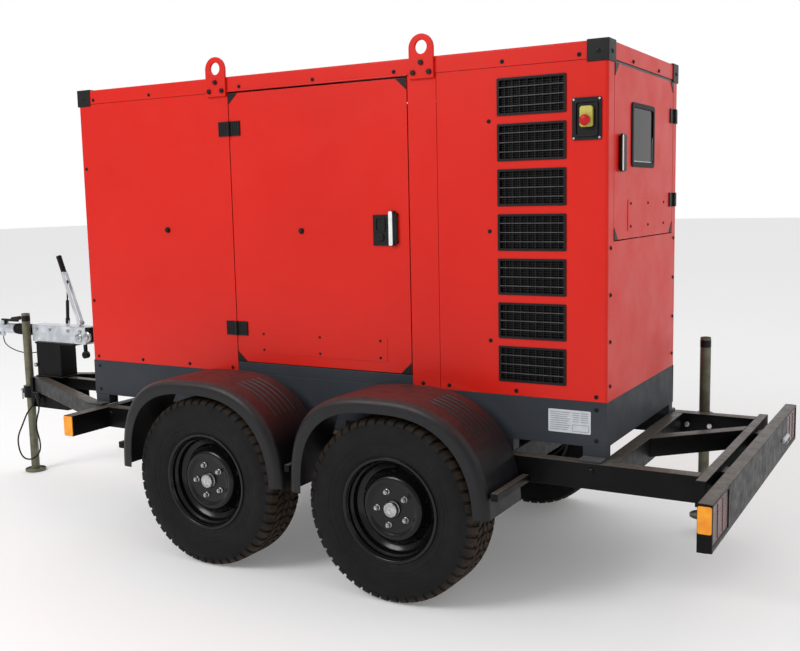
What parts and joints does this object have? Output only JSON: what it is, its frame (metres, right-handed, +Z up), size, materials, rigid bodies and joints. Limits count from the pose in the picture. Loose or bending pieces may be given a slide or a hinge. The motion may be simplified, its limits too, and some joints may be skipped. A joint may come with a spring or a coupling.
{
  "type": "towable diesel generator",
  "caption": "Closed-canopy diesel generator set on a tandem-axle towable trailer with drawbar coupling, prop stands, hinged service doors, lifting eyes and rear light bar.",
  "frame": {"origin": "middle of the overall footprint, on the ground", "axes": "+X points rearward, from the tow coupling to the light bar; -Y is the trailer's left side when looking forward; +Z is up"},
  "size_m": [4.5469, 1.73, 2.215],
  "materials": {
    "canopy_red": "gloss",
    "base_grey": "satin",
    "frame_black": "satin",
    "inner_grey": "satin",
    "galvanised": "satin",
    "wheel_black": "gloss",
    "tread_rubber": "matte",
    "guard_plastic": "satin",
    "lamp_red": "gloss",
    "lamp_amber": "gloss",
    "fitting_black": "satin",
    "station_yellow": "satin",
    "button_red": "gloss",
    "cast_grey": "satin",
    "core_aluminium": "satin",
    "fan_plastic": "matte",
    "silencer_steel": "satin",
    "soft_black": "matte",
    "pane": "gloss",
    "polished_rod": "polished"
  },
  "bodies": {
    "trailer": {"alternator": "cast_grey", "axle_beams": "frame_black", "base_frame": "base_grey", "battery": "fan_plastic", "breakaway_cable": "soft_black", "canopy_posts": "inner_grey", "chassis_frame": "frame_black", "control_panel": "inner_grey", "corner_caps": "guard_plastic", "coupling_bellows": "soft_black", "drawbar_frame": "frame_black", "end_panels": "canopy_red", "engine_block": "cast_grey", "estop_station": "station_yellow", "exhaust_silencer": "silencer_steel", "fixed_hinge_leaves": "fitting_black", "lead_plug": "fan_plastic", "lifting_eyes": "canopy_red", "mudguards": "guard_plastic", "overrun_housing": "galvanised", "panel_bolts": "fitting_black", "radiator": "core_aluminium", "rear_light_bar": "frame_black", "roof_panel": "canopy_red", "side_markers": "lamp_amber", "side_panels": "canopy_red", "stand_clamps": "frame_black", "tail_lamps": "lamp_red", "trailer_lead": "soft_black", "vent_grilles": "guard_plastic"},
    "swing_arm_front_left": {"swing_arm_front_left": "wheel_black"},
    "wheel_front_left": {"rim_front_left": "wheel_black", "tyre_front_left": "tread_rubber"},
    "swing_arm_front_right": {"swing_arm_front_right": "wheel_black"},
    "wheel_front_right": {"rim_front_right": "wheel_black", "tyre_front_right": "tread_rubber"},
    "swing_arm_rear_left": {"swing_arm_rear_left": "wheel_black"},
    "wheel_rear_left": {"rim_rear_left": "wheel_black", "tyre_rear_left": "tread_rubber"},
    "swing_arm_rear_right": {"swing_arm_rear_right": "wheel_black"},
    "wheel_rear_right": {"rim_rear_right": "wheel_black", "tyre_rear_right": "tread_rubber"},
    "left_door": {"left_door": "canopy_red"},
    "right_door": {"right_door": "canopy_red"},
    "left_door_lever": {"left_door_lever": "fitting_black"},
    "right_door_lever": {"right_door_lever": "fitting_black"},
    "rear_door_lever": {"rear_door_lever": "fitting_black"},
    "estop_button": {"estop_button": "button_red"},
    "cooling_fan": {"cooling_fan": "fan_plastic"},
    "coupling_head": {"coupling_head": "frame_black"},
    "coupling_latch": {"coupling_latch": "frame_black"},
    "handbrake_lever": {"handbrake_lever": "galvanised"},
    "gas_strut_cylinder": {"gas_strut_cylinder": "frame_black"},
    "gas_strut_rod": {"gas_strut_rod": "polished_rod"},
    "front_stand": {"front_stand": "galvanised"},
    "rear_stand": {"rear_stand": "galvanised"},
    "front_clamp_screw": {"front_clamp_screw": "galvanised"},
    "rear_clamp_screw": {"rear_clamp_screw": "galvanised"},
    "rear_door": {"rear_door": "canopy_red", "rear_door_window": "pane"}
  },
  "joints": [
    {"name": "suspension_front_left", "type": "hinge", "parent": "trailer", "child": "swing_arm_front_left", "pos_m": [-0.03463, -0.715, 0.443], "axis": [0, 1, 0], "range_deg": [-12, 12], "stiffness_Nm_per_rad": 2300, "springref_deg": 17.34},
    {"name": "wheel_spin_front_left", "type": "hinge", "parent": "swing_arm_front_left", "child": "wheel_front_left", "pos_m": [0.0975, -0.715, 0.372], "axis": [0, 1, 0], "continuous": true},
    {"name": "suspension_front_right", "type": "hinge", "parent": "trailer", "child": "swing_arm_front_right", "pos_m": [-0.03463, 0.715, 0.443], "axis": [0, 1, 0], "range_deg": [-12, 12], "stiffness_Nm_per_rad": 2300, "springref_deg": 17.34},
    {"name": "wheel_spin_front_right", "type": "hinge", "parent": "swing_arm_front_right", "child": "wheel_front_right", "pos_m": [0.0975, 0.715, 0.372], "axis": [0, 1, 0], "continuous": true},
    {"name": "suspension_rear_left", "type": "hinge", "parent": "trailer", "child": "swing_arm_rear_left", "pos_m": [0.89137, -0.715, 0.443], "axis": [0, 1, 0], "range_deg": [-12, 12], "stiffness_Nm_per_rad": 2300, "springref_deg": 17.34},
    {"name": "wheel_spin_rear_left", "type": "hinge", "parent": "swing_arm_rear_left", "child": "wheel_rear_left", "pos_m": [1.0235, -0.715, 0.372], "axis": [0, 1, 0], "continuous": true},
    {"name": "suspension_rear_right", "type": "hinge", "parent": "trailer", "child": "swing_arm_rear_right", "pos_m": [0.89137, 0.715, 0.443], "axis": [0, 1, 0], "range_deg": [-12, 12], "stiffness_Nm_per_rad": 2300, "springref_deg": 17.34},
    {"name": "wheel_spin_rear_right", "type": "hinge", "parent": "swing_arm_rear_right", "child": "wheel_rear_right", "pos_m": [1.0235, 0.715, 0.372], "axis": [0, 1, 0], "continuous": true},
    {"name": "left_door_hinge", "type": "hinge", "parent": "trailer", "child": "left_door", "pos_m": [0.0445, -0.486, 1.45], "axis": [0, 0, -1], "range_deg": [0, 115]},
    {"name": "right_door_hinge", "type": "hinge", "parent": "trailer", "child": "right_door", "pos_m": [0.0445, 0.486, 1.45], "axis": [0, 0, 1], "range_deg": [0, 115]},
    {"name": "rear_door_hinge", "type": "hinge", "parent": "trailer", "child": "rear_door", "pos_m": [1.7925, 0.413, 1.725], "axis": [0, 0, 1], "range_deg": [0, 120]},
    {"name": "left_door_lever_hinge", "type": "hinge", "parent": "left_door", "child": "left_door_lever", "pos_m": [0.8985, -0.488, 1.453], "axis": [0, 0, 1], "range_deg": [0, 40]},
    {"name": "right_door_lever_hinge", "type": "hinge", "parent": "right_door", "child": "right_door_lever", "pos_m": [0.8985, 0.488, 1.453], "axis": [0, 0, -1], "range_deg": [0, 40]},
    {"name": "rear_door_lever_hinge", "type": "hinge", "parent": "rear_door", "child": "rear_door_lever", "pos_m": [1.7945, -0.352, 1.726], "axis": [0, 0, -1], "range_deg": [0, 40]},
    {"name": "estop_push", "type": "slide", "parent": "trailer", "child": "estop_button", "axis": [0, 1, 0], "range_m": [0, 0.005], "stiffness_N_per_m": 4000, "springref_m": -0.0005},
    {"name": "fan_spin", "type": "hinge", "parent": "trailer", "child": "cooling_fan", "pos_m": [-0.4535, 0, 1.25], "axis": [1, 0, 0], "continuous": true},
    {"name": "overrun_slide", "type": "slide", "parent": "trailer", "child": "coupling_head", "axis": [1, 0, 0], "range_m": [0, 0.09], "stiffness_N_per_m": 1500, "springref_m": -0.1, "deforming": ["coupling_bellows"]},
    {"name": "latch_lift", "type": "hinge", "parent": "coupling_head", "child": "coupling_latch", "pos_m": [-2.1535, 0, 0.885], "axis": [0, -1, 0], "range_deg": [0, 40], "stiffness_Nm_per_rad": 1.5, "springref_deg": -28.65},
    {"name": "handbrake_swing", "type": "hinge", "parent": "trailer", "child": "handbrake_lever", "pos_m": [-1.4985, 0, 0.903], "axis": [0, -1, 0], "range_deg": [0, 60]},
    {"name": "strut_swing", "type": "hinge", "parent": "trailer", "child": "gas_strut_cylinder", "pos_m": [-1.6035, 0, 0.903], "axis": [0, -1, 0], "range_deg": [0, 79]},
    {"name": "strut_stroke", "type": "slide", "parent": "gas_strut_cylinder", "child": "gas_strut_rod", "axis": [0.0637, 0, 0.998], "range_m": [-0.087, 0]},
    {"name": "front_stand_slide", "type": "slide", "parent": "trailer", "child": "front_stand", "axis": [0, 0, 1], "range_m": [0, 0.38]},
    {"name": "rear_stand_slide", "type": "slide", "parent": "trailer", "child": "rear_stand", "axis": [0, 0, 1], "range_m": [-0.06, 0.385]},
    {"name": "front_clamp_screw_turn", "type": "hinge", "parent": "trailer", "child": "front_clamp_screw", "pos_m": [-1.8885, -0.06, 0.485], "axis": [1, 0, 0], "continuous": true},
    {"name": "rear_clamp_screw_turn", "type": "hinge", "parent": "trailer", "child": "rear_clamp_screw", "pos_m": [1.9015, 0.588, 0.53], "axis": [0, 1, 0], "continuous": true}
  ],
  "couplings": [
    {"joint": "strut_swing", "follows": "handbrake_swing", "ratio": 1.304},
    {"joint": "strut_stroke", "follows": "handbrake_swing", "m_per_rad": -0.0827}
  ]
}
